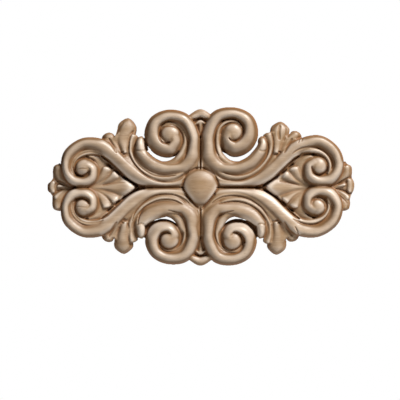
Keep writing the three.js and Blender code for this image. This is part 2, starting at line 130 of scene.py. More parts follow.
# The knife's lines in each quarter: between tube and fillet, over and under the inner eye, the two
# on the band, inside the outer tube and under the outer eye.
linesUpperRight = {
    "tubeFillet": [
        (9.5, 15.8), (8.4, 17.8), (7.3, 21), (7.1, 24.5), (7.7, 28.8), (9.4, 32), (13, 34.4),
        (17, 34.6), (20.2, 32.9), (21.8, 30),
    ],
    "overEye": [(10.2, 27), (11, 30.3), (13.5, 32.1), (16, 32.7), (18.6, 32.1), (20.8, 30.2)],
    "underEye": [
        (14.2, 25.3), (15.4, 24), (17.2, 23.4), (19.2, 24), (20.9, 25.8), (21.6, 28), (21.8, 29.6),
    ],
    "bandInner": [
        (11, 7.8), (14, 6.8), (18.5, 6.1), (23, 6.8), (27, 8.7), (31, 12.2), (33.7, 16.3), (34.4, 21),
        (33, 24.6),
    ],
    "bandOuter": [
        (4.7, 9.8), (8, 6.2), (12, 4.2), (18, 3.3), (23, 4.1), (28, 6.5), (32, 10), (35.5, 15),
        (36.9, 20), (36.8, 25), (35.7, 29),
    ],
    "outerTube": [
        (46.5, 17), (49, 18.8), (52, 20), (55.5, 20.5), (59, 20.1), (63, 18), (65.6, 15), (66.8, 11.5),
        (66.4, 9),
    ],
    "outerEye": [(56.4, 11), (56.6, 9.2), (58, 7), (60.2, 6.1), (62.3, 6.8), (64, 8.8), (64.5, 11)],
}
linesUpperLeft = {
    "tubeFillet": [
        (8.5, 14), (7.2, 17), (6.5, 20.5), (6.8, 24), (8.3, 28), (10.5, 31), (14, 33), (17.5, 33.2),
        (20.2, 31.2),
    ],
    "overEye": [(9.9, 26.5), (10.8, 29), (13, 30.7), (16, 31), (19, 30.4), (20.6, 28.8)],
    "underEye": [(15.4, 22.9), (17.4, 22.3), (19.6, 23), (20.8, 25.2), (20.9, 28.2)],
    "bandInner": [
        (12, 6.2), (16, 5.7), (20, 5.6), (24, 6.3), (28, 8.5), (31, 11.1), (33.4, 14.7), (34, 19),
        (32.8, 23),
    ],
    "bandOuter": [
        (5.4, 9), (7, 6.9), (10, 4.2), (14, 2.9), (18, 2.7), (23, 3.5), (27, 5.5), (31.5, 9.5),
        (34.5, 13.5), (36.3, 18), (36, 23),
    ],
    "outerTube": [
        (48.5, 15.8), (51, 17.1), (54, 17.9), (57, 17.9), (60, 17.1), (62.6, 15.4), (64.6, 12.6),
        (64.9, 9.6),
    ],
    "outerEye": [(56.2, 8.7), (57.5, 7), (59.6, 6), (61.8, 6.2), (63.8, 7.8), (64.6, 10.4)],
}
linesLowerRight = {
    "tubeFillet": [
        (17, 11.8), (12.5, 12.9), (9.5, 14.7), (7.9, 17.5), (7.1, 22), (7.4, 25), (8.8, 28.8),
        (12, 32), (16, 33.4), (19.6, 32.9), (22.4, 29.4),
    ],
    "overEye": [(11.2, 26), (12.3, 29.5), (14.5, 31.4), (17, 31.7), (19.5, 30.6), (21.4, 28.6)],
    "underEye": [(16.6, 22.9), (18.4, 22.8), (20.8, 24.2), (22.2, 26.4), (22.6, 28.6)],
    "bandInner": [
        (9, 8.5), (13, 7.6), (18, 7.1), (22, 7.7), (26, 9.4), (30, 12.6), (32.6, 16.6), (33.2, 20.5),
    ],
    "bandOuter": [
        (5.5, 8.2), (8, 6.3), (12, 4.7), (17, 4.3), (22, 5), (26, 6.6), (31, 10.3), (34, 14.5),
        (35.6, 18),
    ],
    "outerTube": [
        (47, 16), (50, 17.6), (53, 18.6), (56, 18.9), (59.5, 18.2), (62.6, 16.3), (65, 13.2),
        (65.9, 10), (64.8, 7.4),
    ],
    "outerEye": [(63.2, 10.8), (62.8, 8.3), (61, 6.6), (59, 6), (57, 6.9)],
}
linesLowerLeft = {
    "tubeFillet": [
        (16.5, 11.6), (12, 12.6), (9.2, 14.3), (7.6, 17.5), (6.9, 22), (7.2, 25), (8.4, 28.4),
        (11, 31.2), (15, 32.7), (18.6, 32.2), (21, 29.8),
    ],
    "overEye": [(10.4, 26.6), (12, 29.5), (14.5, 31), (17, 31.2), (19.5, 30.1), (20.9, 28.3)],
    "underEye": [(15.2, 23.4), (17, 23.1), (19, 23.6), (20.6, 25.2), (21, 27), (20.8, 28.8)],
    "bandInner": [
        (9, 8.7), (13, 6.8), (17, 6.2), (20.5, 6.4), (24, 7.6), (28.5, 10.3), (31, 14.5), (31.8, 19),
    ],
    "bandOuter": [
        (5.5, 8.4), (8, 6.1), (12, 4.2), (16, 3.5), (20, 3.6), (24, 4.7), (29, 8), (33, 12.5),
        (34.6, 17),
    ],
    "outerTube": [
        (49, 16.6), (52, 17.6), (56, 18), (59, 17.6), (61.8, 16.1), (64, 13.4), (65, 10), (64.6, 7),
    ],
    "outerEye": [(56.6, 8.4), (57.5, 7), (59, 6.1), (61, 5.7), (63.4, 6.2), (64.6, 7.6)],
}
# How wide and deep each of these lines is cut.
lineCuts = {
    "tubeFillet": (0.7, 0.7), "overEye": (0.5, 0.6), "underEye": (0.65, 1.3), "bandInner": (0.6, 0.8),
    "bandOuter": (0.55, 0.7), "outerTube": (0.7, 0.6), "outerEye": (0.6, 1.1),
}

above = {"row": 1, "curl": curlAbove, "stem": stem, "band": bandAbove, "fillet": filletAbove,
         "floorRadius": 10.8, "ledge": None}
below = {"row": -1, "curl": curlBelow, "stem": stem, "band": bandBelow, "fillet": filletBelow,
         "floorRadius": 8, "ledge": ledgeBelow}
# Each quarter has its own eyes, leaf tips, fan and knife lines: (points, width, depth) for a line.
quarters = [
    {**above, "side": 1, "turns": turnsRight, "eye": (17, 27.5), "outerEye": (60.2, 10.7),
     "stepRise": 0, "thumbShift": 0.6, "tip": (41, 33.4), "sideTip": (50.4, 27.8), "fanShift": 1.2,
     "fanEdge": [(73.7, 13.3), (75, 11.5), (77, 8.2), (76.9, 5.2), (78, 2)],
     "fanSmall": [(68, 0.4, 0.5), (71.6, 1, 0.9), (74, 1.7, 1.2)],
     "lines": linesUpperRight, "knifeLines": [
         ([(40.4, 31.5), (39.8, 28), (40.2, 24)], 1.1, 0.7),
         ([(43.6, 30), (43.4, 27), (42.2, 23.6)], 0.6, 0.5),
         ([(50, 26), (50.2, 24), (49.6, 22.6)], 0.5, 0.5),
         ([(51.6, 26.4), (51.8, 24.6), (51, 23)], 0.5, 0.5),
         ([(40, 3.2), (44, 2.6), (50, 1.2)], 0.5, 0.5),
         ([(69.5, 1.7), (72.5, 3.4), (74.6, 4.6), (76.6, 5)], 0.6, 0.8),
     ]},
    {**above, "side": -1, "turns": turnsLeft, "eye": (15.7, 26.5), "outerEye": (59.4, 9.7),
     "ledge": ledgeAbove, "curl": curlAboveLeft, "stem": stemLeft, "stepRise": -0.5,
     "thumbShift": -0.6, "tip": (36.8, 35.2), "sideTip": (48.4, 27.4), "fanShift": -0.8,
     "fanEdge": [(71.6, 12.4), (74.3, 10), (75, 7.5), (75, 4.5), (77, 1.6)],
     "fanSmall": [(68, 0.3, 0.5), (71, 0.6, 0.9), (73, 0.7, 1.2)],
     "lines": linesUpperLeft, "knifeLines": [
         ([(34, 29), (35.4, 26.4), (36.4, 23), (36.4, 19)], 0.8, 0.9),
         ([(39, 33), (41.4, 30), (42.6, 27)], 0.8, 0.4),
         ([(57.4, 9.4), (60, 9.6), (62.2, 9.2)], 0.35, 0.35),
         ([(38, 2.4), (44, 2.2), (50, 1.1)], 0.5, 0.4),
         ([(67.6, 1.2), (71, 3), (73.2, 3.2)], 0.5, 0.7),
     ]},
    {**below, "side": 1, "turns": turnsRight, "eye": (16.5, 26.9), "outerEye": (59.7, 9.3),
     "stepRise": 1, "thumbShift": -0.2, "tip": (38.7, 34.2), "sideTip": (48.4, 27.1), "fanShift": 0.2,
     "fanEdge": [(72.3, 11.6), (75.3, 9.4), (76.1, 5), (78, 1.2)],
     "fanSmall": [(66.5, 0.6, 0.5), (71, 2.4, 1.3), (74.2, 4.8, 1.9), (74.8, 6.6, 1.6)],
     "lines": linesLowerRight, "knifeLines": [
         ([(34.6, 29.4), (36.2, 26), (36.6, 22), (36, 18.6)], 1.1, 0.6),
         ([(49.8, 24.6), (49, 22), (47.8, 19.6)], 0.5, 0.6),
         ([(68.5, 0.6), (72, 1.3), (75, 2.6), (77, 3.6)], 0.5, 0.7),
         ([(69.6, 3.2), (72.6, 6), (75, 8.4)], 0.5, 0.6),
     ]},
    {**below, "side": -1, "turns": turnsLeft, "eye": (16, 26.4), "outerEye": (59.5, 9.8),
     "stepRise": 0.2, "thumbShift": -0.8, "tip": (39, 33.8), "sideTip": (48.6, 27.2), "fanShift": -0.5,
     "fanEdge": [(71.6, 12), (74.5, 9.8), (75.3, 7), (75.2, 4.4), (77.4, 1)],
     "fanSmall": [(66.5, 0.6, 0.5), (70.4, 2.4, 1.3), (73, 4.8, 1.9), (73.8, 6.4, 1.6)],
     "lines": linesLowerLeft, "knifeLines": [
         ([(35.2, 30), (36.4, 26), (36.2, 22), (37, 18)], 1.1, 0.5),
         ([(42.8, 27.4), (42.4, 24), (41, 20)], 1.5, 0.4),
         ([(57.4, 10.2), (60, 9.9), (62.6, 9.6)], 0.35, 0.35),
         ([(70, 0.9), (72, 1.7), (73, 1.4)], 0.5, 0.6),
     ]},
]


# Rows of (x, z, half width) get a crest and a wall depth. Two names mean an even change along them.
def withDepths(rows, crests, walls):
    def between(names, share):
        first, last = depth[names.split()[0]], depth[names.split()[-1]]
        return first + (last - first) * share
    shares = [i / (len(rows) - 1) for i in range(len(rows))]
    return [(*row, between(crests, share), between(walls, share)) for row, share in zip(rows, shares)]


# Rows round an eye from its top: way is 1 against the clock and -1 with it.
def voluteRows(eye, way, eighths):
    out = []
    for i, (radius, half) in enumerate(eighths):
        turn = math.pi / 2 + way * i * math.pi / 4
        out.append((eye[0] + radius * math.cos(turn), eye[1] + radius * math.sin(turn), half,
                    depth["scroll"], depth["scrollWall"]))
    return out


def aboutEye(eye, rows):
    return [(eye[0] + x, eye[1] + z, half) for x, z, half in rows]


# How far a crest leans to the left, row by row along a strand.
leans = {
    "scroll": [0.1, 0.2, 0.3, 0.35, 0.4, 0.35, 0.25, 0.12, 0.05, 0.05, 0.1, 0.12, 0.15, 0.18,
               0.2, 0.2, 0.2, 0.2, 0.1, 0, 0],
    "upperStep": [0.3, 0.35, 0.35, 0.35, 0.25, 0.05, -0.2, -0.4, -0.4],
    "lowerStep": [0.2, 0.3, 0.3, 0.4, 0.45, 0.45, 0.45, 0.45, 0.4, 0.3, 0.25, 0.1, 0],
    "outerScroll": [0.1, 0.1, 0.1, 0.2, 0.3, 0.3, 0.3, 0.25, 0.25, 0.25, 0.2, 0.1,
                    0, -0.15, -0.25, -0.3, -0.3, -0.2],
    "sideLeaf": 0.3,
    "palmette": -0.45,
}
# How long a strand's rounded end is.
roundEnds = {
    "scroll": 1.6, "upperStep": 1.4, "lowerStep": 1.6, "tallLeaf": 4.2, "sideLeaf": 2.2,
    "palmette": 1.5, "palmetteMiddle": 4, "fan": 1.8, "fanMiddle": 2, "knob": 1,
}


# Each strand: its name, which its lean and its rounded end go by, and its rows.
def quarterStrands(q):
    shift = q["thumbShift"]
    fan = q["fanShift"]
    tipX, tipZ = q["tip"]
    thumb = [(31.3 + shift, 21.5, 2.5), (30.9 + shift, 24, 2.1), (30.3 + shift, 25.9, 1.2)]
    largeScroll = (voluteRows(q["eye"], 1, q["curl"])
                   + withDepths(q["stem"], "scroll band", "scrollWall")
                   + withDepths(q["band"], "band", "scrollWall")
                   + withDepths(thumb, "band low", "scrollWall lowWall"))
    overTop = aboutEye(q["eye"], [
        (4.5, 2.4, 0.5), (3.6, 4, 0.7), (1.2, 5.7, 1), (-1.4, 6.1, 1.1), (-4.6, 5.2, 1.3),
        (-7.4, 2.4, 1.5), (-8.4, -3, 1.6),
    ])
    largeFillet = withDepths(overTop + q["fillet"], "low ridge", "lowWall stepWall")
    upperStep = withDepths([
        (8.5, 7.8, 0.8), (13.3, 5.5, 1.9), (18.7, 4.8, 1.8), (24, 6, 1.8), (29.5, 9.2, 1.7),
        (33.3, 13.6, 1.6), (35.2, 18, 1.5), (35.4, 22.3, 1.9), (33.6, 27.6, 2.2),
    ], "ridge low", "stepWall lowWall")
    rise = q["stepRise"]
    upperStep = [(x, z + rise, *rest) for x, z, *rest in upperStep]
    lowerStep = withDepths([
        (2, 15.5, 1.2), (2.6, 12, 1.9), (4.2, 8.9, 1.6), (7.1, 5.6, 1.4), (11, 3.1, 1.5),
        (15, 2.2, 1.6), (18.5, 1.9, 1.5), (22, 2.2, 1.6), (26, 3.8, 1.7), (30, 6.4, 1.8),
        (33.6, 9.6, 2), (36.6, 13, 2.1), (38.6, 16.2, 1.7),
    ], "step", "stepWall")
    lowerStep = [(x, z + 0.6 * rise, half + 0.4 * rise, *rest) for x, z, half, *rest in lowerStep]
    tube = withDepths([
        (7.5, 3, 2.2), (13, 2, 1.6), (20, 1.9, 1.5), (26, 3, 2.4), (31.5, 5, 3.2),
        (36.5, 8.4, 3.8), (41.3, 12.6, 4), (46, 17, 4.2), (51.5, 20.8, 3.9),
    ], "low scroll", "lowWall scrollWall")
    outerFillet = withDepths(aboutEye(q["outerEye"], [
        (-12, 5.2, 0.8), (-8.8, 7.6, 1.3), (-4.4, 8.4, 1.7), (0, 7.6, 1.7), (3.6, 5.3, 1.5),
        (5.5, 1.8, 1.3), (5.5, -2, 1.1), (4.2, -4.2, 0.6),
    ]), "ridge", "tip")
    tallLeaf = withDepths([
        (38.5, 17.4, 1.9), (38.8, 20.4, 2.9), (39.3, 24.4, 4), ((39.4 + 2 * tipX) / 3, 28.4, 4.7),
        ((39.4 + 5 * tipX) / 6, (28.4 + tipZ) / 2, 4.4), (tipX, tipZ, 2.6),
    ], "ridge tip", "lowWall tipWall")
    sideLeaf = withDepths([
        (40, 12.6, 1.3), (42.6, 17.6, 2.6), (45.7, 22.4, 3.5), (*q["sideTip"], 2.7),
    ], "ridge tip", "lowWall tipWall")
    outerScroll = tube + voluteRows(q["outerEye"], -1, q["turns"])
    strands = [
        ("scroll", largeScroll), ("fillet", largeFillet), ("upperStep", upperStep),
        ("lowerStep", lowerStep), ("outerScroll", outerScroll), ("fillet", outerFillet),
        ("tallLeaf", tallLeaf), ("sideLeaf", sideLeaf),
    ]
    palmette = [
        [(53, 1, 0.5), (48.5, 2.5, 1.3), (45, 4.3, 2.2), (41.9, 6.7, 2.5)],
        [(56, 0.7, 0.5), (52, 2.7, 1.5), (48.6, 5.9, 2.8), (46.4, 10.2, 2.7)],
        [(56.5, 1.2, 0.5), (52, 4.4, 1.7), (50.3, 8.2, 2.6), (50.2, 11.8, 3), (52, 14.6, 2.3),
         (55, 15.9, 1.3), (57.6, 15.9, 0.5)],
    ]
    for rows in palmette:
        strands.append(("palmette", withDepths(rows, "root lobe", "tipWall lobeWall")))
    fanLobes = [
        [(65.4, 0.6, 0.5), (69.6, 3.4, 2), (72.6 + fan, 7, 3.1), (72.7 + fan, 11.8, 2.4)],
        q["fanSmall"],
    ]
    for rows in fanLobes:
        strands.append(("fan", withDepths(rows, "root low", "tipWall fanWall")))
    return strands


# Pieces that lie across a seam.
palmetteMiddle = withDepths([(57, 0, 0.5), (50, 0, 1.5), (44, 0, 3.4), (39, 0, 4.4), (33.4, 0, 1.8)],
                            "root lobe", "tipWall lobeWall")
fanMiddle = withDepths([(64.5, 0, 0.6), (69, 0, 1.3), (74, 0, 2.6), (78, 0, 2.6)], "root", "tipWall")
# The knob at the tip of the right fan and of the left one.
fanKnobs = {
    1: [(74.8, 4.6, 0.9), (75.9, 3, 1.9), (76.1, 0.6, 2.1), (75.8, -1.6, 1.7), (75.2, -3, 0.8)],
    -1: [(74.2, 3, 0.9), (75.2, 1.6, 1.8), (75.4, -0.2, 2), (74.9, -1.8, 1.6), (74.2, -3, 0.8)],
}


# Rows drawn from the middle to the right get their mirror image on the left.
def bothWays(rows):
    return [(-x, z, half) for x, z, half in reversed(rows[1:])] + rows


crestArch = withDepths(bothWays([(0, 37.5, 2.2), (3.4, 36.2, 1.8), (6.2, 34.6, 1.3)]), "low", "lowWall")
crestChevron = withDepths(bothWays([(0, 33.6, 0.8), (1.4, 33, 0.7), (3.2, 31.6, 0.6)]), "tip", "lowWall")
crestDart = withDepths([(0, 33, 1.8), (0, 29, 1.4), (0, 24, 0.9), (0, 16, 0.4)], "tip dartEnd", "tipWall")


# The tree sweeps an arched section along every drawn line it is given.
sweep = {
    "step": 0.35,  # millimetres between sections
    "archPoints": 17,  # points across a section
    "archFall": 1.45,  # 1 is a half round, 2 a flatter arch with softer sides
}


# Makers for one tree: of a node, of a node's first output and of a sum.
def nodeMaker(tree):
    def make(kind, inputs=(), **settings):
        node = tree.nodes.new(kind)
        for name, setting in settings.items():
            setattr(node, name, setting)
        for name, given in dict(inputs).items():
            if isinstance(given, bpy.types.NodeSocket):
                tree.links.new(given, node.inputs[name])
            else:
                node.inputs[name].default_value = given
        return node

    def join(kind, inputs=(), **settings):
        return make(kind, inputs, **settings).outputs[0]

    def value(op, *numbers, clamp=False):
        return join("ShaderNodeMath", enumerate(numbers), operation=op, use_clamp=clamp)
    return make, join, value


def buildSweepTree():
    tree = bpy.data.node_groups.new("carvedStrand", "GeometryNodeTree")
    for name, kind in {"Drawn Lines": "Geometry", "Section Step": "Float", "Arch Points": "Int",
                       "Arch Fall": "Float", "Wood": "Material"}.items():
        tree.interface.new_socket(name, in_out="INPUT", socket_type="NodeSocket" + kind)
    tree.interface.new_socket("Strands", in_out="OUTPUT", socket_type="NodeSocketGeometry")
    make, join, value = nodeMaker(tree)
    given = make("NodeGroupInput").outputs

    def kept(geometry, fields):
        node = make("GeometryNodeCaptureAttribute")
        for name, (kind, socket) in fields.items():
            node.capture_items.new(kind, name)
        tree.links.new(geometry, node.inputs["Geometry"])
        for name, (kind, socket) in fields.items():
            tree.links.new(socket, node.inputs[name])
        return node.outputs

    def named(name):
        return join("GeometryNodeInputNamedAttribute", {"Name": name}, data_type="FLOAT")

    # the drawn lines become smooth curves, cut into even steps
    curve = join("GeometryNodeMeshToCurve", {"Mesh": given["Drawn Lines"]})
    curve = join("GeometryNodeCurveSplineType", {"Curve": curve}, spline_type="CATMULL_ROM")
    curve = join("GeometryNodeSetSplineResolution", {"Geometry": curve, "Resolution": 24})
    curve = join("GeometryNodeResampleCurve", {"Curve": curve, "Length": given["Section Step"]},
                 mode="LENGTH")

    # what the section needs to know about the line it stands on
    gone = make("GeometryNodeSplineParameter").outputs["Length"]
    line = kept(curve, {
        "Centre": ("VECTOR", join("GeometryNodeInputPosition")),
        "Direction": ("VECTOR", join("GeometryNodeInputTangent")),
        "Left To Go": ("FLOAT", value("SUBTRACT", join("GeometryNodeSplineLength"), gone)),
    })

    # the section: a short line whose points know their place across it
    section = join("GeometryNodeCurvePrimitiveLine")
    section = join("GeometryNodeResampleCurve", {"Curve": section, "Count": given["Arch Points"]},
                   mode="COUNT")
    section = kept(section, {"Across": ("FLOAT", make("GeometryNodeSplineParameter").outputs["Factor"])})
    swept = join("GeometryNodeCurveToMesh",
                 {"Curve": line["Geometry"], "Profile Curve": section["Geometry"]})

    # every point goes to its place on the arch
    turn = value("MULTIPLY", value("SUBTRACT", section["Across"], 0.5), math.pi)
    sideways, upwards = value("SINE", turn), value("COSINE", turn)
    intoEnd = value("SUBTRACT", 1, value("DIVIDE", line["Left To Go"], named("roundEnd")), clamp=True)
    fade = value("SQRT", value("MAXIMUM", 0.0, value("SUBTRACT", 1, value("MULTIPLY", intoEnd, intoEnd))))
    width = value("MULTIPLY", named("half"), fade)
    offset = value("MULTIPLY", width, value("MULTIPLY_ADD", named("lean"), upwards, sideways))
    rise = value("MULTIPLY", value("SUBTRACT", named("crest"), named("wall")), fade)
    arch = value("POWER", value("MAXIMUM", upwards, 0.0), given["Arch Fall"])
    high = value("MULTIPLY_ADD", rise, arch, named("wall"))
    parts = make("ShaderNodeSeparateXYZ", {0: line["Direction"]}).outputs
    left = join("ShaderNodeCombineXYZ", {"X": value("MULTIPLY", parts["Z"], -1), "Z": parts["X"]})
    aside = join("ShaderNodeVectorMath", {0: left, "Scale": offset}, operation="SCALE")
    forward = join("ShaderNodeCombineXYZ", {"Y": value("MULTIPLY", high, -1)})
    place = line["Centre"]
    for move in (aside, forward):
        place = join("ShaderNodeVectorMath", {0: place, 1: move}, operation="ADD")
    placed = join("GeometryNodeSetPosition", {"Geometry": swept, "Position": place})
    real = join("GeometryNodeRealizeInstances", {"Geometry": placed})
    coloured = join("GeometryNodeSetMaterial", {"Geometry": real, "Material": given["Wood"]})
    make("NodeGroupOutput", {"Strands": coloured})
    return tree


# A square end still gets this length, so that the section is never divided by nothing.
shortestEnd = 0.001


# All strands as drawn lines in one mesh, with what the section needs at every point.
def drawLines(strands):
    places, edges = [], []
    numbers = {"half": [], "crest": [], "wall": [], "lean": [], "roundEnd": []}
    for rows, leaning, roundEnd in strands:
        first = len(places)
        numbers["lean"] += leaning
        for x, z, half, crest, wall in rows:
            places.append((x * mm, 0, z * mm))
            for name, given in (("half", half), ("crest", crest), ("wall", wall),
                                ("roundEnd", max(roundEnd, shortestEnd))):
                numbers[name].append(given * mm)
        edges += [(i, i + 1) for i in range(first, len(places) - 1)]
    mesh = bpy.data.meshes.new("drawnLines")
    mesh.from_pydata(places, edges, [])
    for name, column in numbers.items():
        mesh.attributes.new(name, "FLOAT", "POINT").data.foreach_set("value", column)
    drawing = bpy.data.objects.new("drawnLines", mesh)
    bpy.context.collection.objects.link(drawing)
    return drawing


allStrands = []


# Adds a strand drawn for the upper right quarter, turned over to its own side and row.
def lay(side, row, name, rows):
    moved = [(x * side, z * row, half, crest, wall) for x, z, half, crest, wall in rows]
    lean = leans.get(name, 0)
    lean = lean if isinstance(lean, list) else [lean] * len(rows)
    allStrands.append((moved, [part * side * row for part in lean], roundEnds.get(name, 0)))


ledgeWall = 0.8
for q in quarters:
    for strand in quarterStrands(q):
        lay(q["side"], q["row"], *strand)
    if q["ledge"]:
        crest = carving["seamFloor"]
        rows = [(x, z, half, crest, ledgeWall * crest) for x, z, half in q["ledge"]]
        lay(q["side"], q["row"], "ledge", rows)
for side in (1, -1):
    lay(side, 1, "palmetteMiddle", palmetteMiddle)
    lay(side, 1, "fanMiddle", fanMiddle)
    lay(side, 1, "knob", withDepths(fanKnobs[side], "tip", "fanWall"))
for row in (1, -1):
    for rows in (crestArch, crestChevron, crestDart):
        lay(1, row, "crest", rows)

wood = bpy.data.materials.new("bareCarvedWood")
drawing = drawLines(allStrands)
sweepTree = buildSweepTree()
modifier = drawing.modifiers.new("carvedStrand", "NODES")
modifier.node_group = sweepTree
sockets = {item.name: item.identifier for item in sweepTree.interface.items_tree if item.in_out == "INPUT"}
modifier[sockets["Section Step"]] = sweep["step"] * mm
modifier[sockets["Arch Points"]] = sweep["archPoints"]
modifier[sockets["Arch Fall"]] = sweep["archFall"]
modifier[sockets["Wood"]] = wood
drawing.update_tag()
graph = bpy.context.evaluated_depsgraph_get()
graph.update()
sweptMesh = bpy.data.meshes.new_from_object(drawing.evaluated_get(graph))
drawing.modifiers.remove(modifier)
print("strands swept:", len(allStrands), "strands,", len(sweptMesh.polygons), "faces")

# The relief is read off the strands from the front.
step = carving["gridStep"]
fine = step / 2
gridHalfX, gridHalfZ = 79.0, 42.0
rayStart, rayReach = -0.02, 0.03
columns = np.arange(-gridHalfX, gridHalfX + fine, fine)
rowsUp = np.arange(-gridHalfZ, gridHalfZ + fine, fine)
strandTree = BVHTree.FromPolygons([v.co for v in sweptMesh.vertices],
                                  [tuple(p.vertices) for p in sweptMesh.polygons])
relief = np.zeros((len(rowsUp), len(columns)))
towardsBack = Vector((0, 1, 0))
for j, z in enumerate(rowsUp):
    zMetres = z * mm
    line = relief[j]
    for i, x in enumerate(columns):
        place = strandTree.ray_cast(Vector((x * mm, rayStart, zMetres)), towardsBack, rayReach)[0]
        if place is not None:
            line[i] = -place.y / mm
bpy.data.objects.remove(drawing)
bpy.data.meshes.remove(sweptMesh)
gridX, gridZ = np.meshgrid(columns, rowsUp)
print("relief read:", relief.shape)


def raiseTo(level, where):
    relief[where] = np.maximum(relief[where], carving[level])


def nearMiddle(acrossX, acrossZ):
    return (abs(gridX) < acrossX) & (abs(gridZ) < acrossZ)


# Points drawn for the upper right quarter, turned over to a quarter's own side and row.
def inQuarter(points, q):
    return [(x * q["side"], z * q["row"]) for x, z in points]


# A dome on a round foot.
def addDome(x, z, half, crest, wall):
    out = 1 - ((gridX - x) ** 2 + (gridZ - z) ** 2) / half ** 2
    inside = out > 0
    relief[inside] = np.maximum(relief[inside], wall + (crest - wall) * out[inside] ** 0.5)


def insidePolygon(corners):
    inside = np.zeros(gridX.shape, bool)
    for (x1, z1), (x2, z2) in zip(corners, corners[1:] + corners[:1]):
        if z1 == z2:
            continue
        crosses = (z1 > gridZ) != (z2 > gridZ)
        inside ^= crosses & (gridX < (x2 - x1) * (gridZ - z1) / (z2 - z1) + x1)
    return inside


bandFloor = [
    (0.5, 10), (0.5, 27), (4, 27), (6, 18), (10, 11), (18, 8), (26, 10), (31, 15), (33, 21), (36, 24),
    (42, 24), (47, 22), (42, 15.5), (34, 7), (26, 2), (10, 1), (6, 5),
]
thumbFloor = [(31, 18), (36, 18), (35, 26), (31, 25.4)]
sprayFloor = [
    (36, 14), (33.6, 19), (33.6, 26.6), (36, 28.4), (42, 28), (44, 25.4), (49, 24.6), (46, 19), (40, 13),
]
endFloor = [
    (30, 0), (37, -7), (47, -15), (57, -17), (72, -10), (76, 0), (72, 10), (57, 17), (47, 15), (37, 7),
]
upperEdge = [
    (33.5, 0), (35, 2.4), (38.5, 4.2), (40.5, 6.5), (42.5, 7.2), (44, 9.5), (46, 10.8), (47.8, 11.8),
    (50, 14.2), (53, 15.6), (57, 15.8),
]
palmetteFloor = upperEdge + [(x, -z) for x, z in reversed(upperEdge)]

# The boss is round above and comes to a soft point below; a groove runs round its edge.
boss = {
    "half": 8.7, "top": 9.4, "foot": 11.0, "point": 1.12, "round": 9.3, "fall": 0.52, "tail": 0.68,
    "grooveAt": 1.05, "grooveWide": 0.7, "grooveDeep": 0.9,
}
roundness = np.where(gridZ > 0, 2.0, boss["point"])
reach = np.where(gridZ > 0, boss["top"], boss["foot"])
inBoss = 1 - ((abs(gridX) / boss["half"]) ** roundness
              + (abs(gridZ) / reach) ** roundness) ** (2 / roundness)
bulge = np.maximum(1 - (gridX ** 2 + gridZ ** 2) / boss["round"] ** 2, 0) ** boss["fall"]
dome = depth["bossWall"] + (depth["boss"] - depth["bossWall"]) * bulge
relief = np.where(inBoss > 0, np.maximum(dome, boss["tail"] * thick), relief)

# The domed eyes, the ground close round each and the floor farther out.
eyes = {
    "eye": {"half": 5.1, "ground": 7.6},
    "outerEye": {"half": 4.6, "ground": 6.2, "floor": 10},
}
domeShift = (-0.3, 0.35)
filletCorner, cornerReach = (54, 16.6), 2.4
for q in quarters:
    for name, size in eyes.items():
        (x, z), = inQuarter([q[name]], q)
        addDome(x + domeShift[0] * q["side"], z + domeShift[1] * q["row"], size["half"],
                depth["eye"], depth["eyeWall"])
        fromEye = np.hypot(gridX - x, gridZ - z)
        raiseTo("seamFloor", fromEye < size.get("floor", q["floorRadius"]))
        raiseTo("eyeFloor", fromEye < size["ground"])
    (x, z), = inQuarter([filletCorner], q)
    raiseTo("palmetteFloor", np.hypot(gridX - x, gridZ - z) < cornerReach)
    fanFloor = [(64, 0), (69, 4), (71.2, 8), (71.2, 11.8), *q["fanEdge"], (77.4, 0)]
    for outline, level in ((bandFloor, "bandFloor"), (thumbFloor, "bandFloor"),
                           (sprayFloor, "sprayFloor"), (fanFloor, "fanFloor")):
        raiseTo(level, insidePolygon(inQuarter(outline, q)))

# Strips of ground along the two middle lines: how far each reaches in x and z, and the two beside the boss.
for level, acrossX, acrossZ in (("seamFloor", 3.6, 36), ("bandFloor", 28, 1.5),
                                ("hollowFloor", 66, 2), ("seamFloor", 35, 1.5)):
    raiseTo(level, nearMiddle(acrossX, acrossZ))
for level, acrossX, acrossZ in (("seamSides", 1.3, 25), ("bossGround", 24, 1.3)):
    raiseTo(level, nearMiddle(acrossX, acrossZ) & (inBoss < 0))
raiseTo("bossGround", np.hypot(gridX, gridZ) < 12)
raiseTo("crestFloor", nearMiddle(3.4, 34.5) & (abs(gridZ) > 22))
for side in (1, -1):
    raiseTo("hollowFloor", insidePolygon([(x * side, z) for x, z in endFloor]))
    raiseTo("palmetteFloor", insidePolygon([(x * side, z) for x, z in palmetteFloor]))


# Softening by a bell curve, along both ways of the grid.
def soften(field, reach, spacing):
    size = max(1, int(math.ceil(3 * reach / spacing)))
    bell = np.exp(-0.5 * (np.arange(-size, size + 1) * spacing / reach) ** 2)
    bell /= bell.sum()
    padded = np.pad(field, size, mode="edge")
    rows = sum(w * padded[:, k:k + field.shape[1]] for k, w in enumerate(bell))
    return sum(w * rows[k:k + field.shape[0]] for k, w in enumerate(bell))


# Cover is 1 in the wood and 0 beside it. The relief is kept a little past the outline, at half cover.
hardlyCovered, wellCovered = 0.02, 0.3
solid = (relief > 0).astype(float)
cover = soften(solid, carving["outlineSoftening"], fine)
covered = np.maximum(soften(solid, carving["softening"], fine), 1e-4)
relief = np.where(cover > hardlyCovered, soften(relief, carving["softening"], fine) / covered, 0)

# Slow unevenness, as a knife leaves it.
dice = np.random.default_rng(carving["seed"])
uneven = soften(dice.standard_normal(relief.shape), carving["unevenReach"], fine)
relief += carving["handUneven"] * uneven / uneven.std() * (cover > hardlyCovered)


